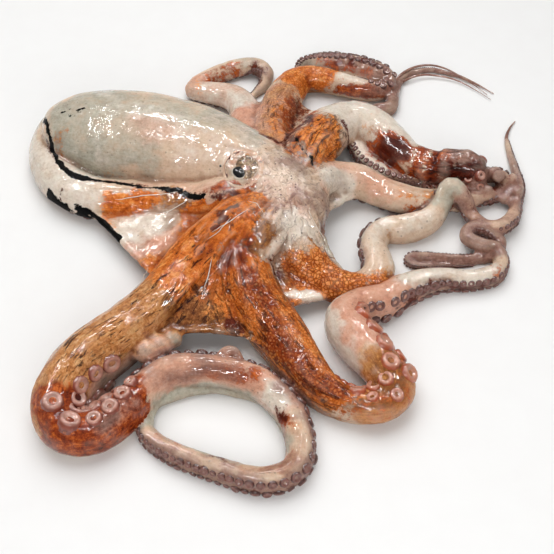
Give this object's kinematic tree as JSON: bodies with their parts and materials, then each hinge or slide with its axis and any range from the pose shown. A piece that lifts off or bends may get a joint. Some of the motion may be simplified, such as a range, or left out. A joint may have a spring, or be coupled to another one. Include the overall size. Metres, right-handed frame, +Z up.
{
  "type": "whole raw octopus",
  "caption": "Whole raw octopus lying on a flat surface: rounded mantle and head, tapering arms that bend, curl and cross, thin webs between them.",
  "frame": {"origin": "on the surface that the octopus lies on, under the middle of its box", "axes": "+Z up out of the surface; +Y from the two front arms towards the back arms; +X from the mantle towards the curled right arms"},
  "size_m": [0.4716, 0.5116, 0.0701],
  "materials": {
    "flesh": "wet, soft, glossy flesh"
  },
  "bodies": {
    "root": {"octopus": "flesh"}
  },
  "joints": []
}
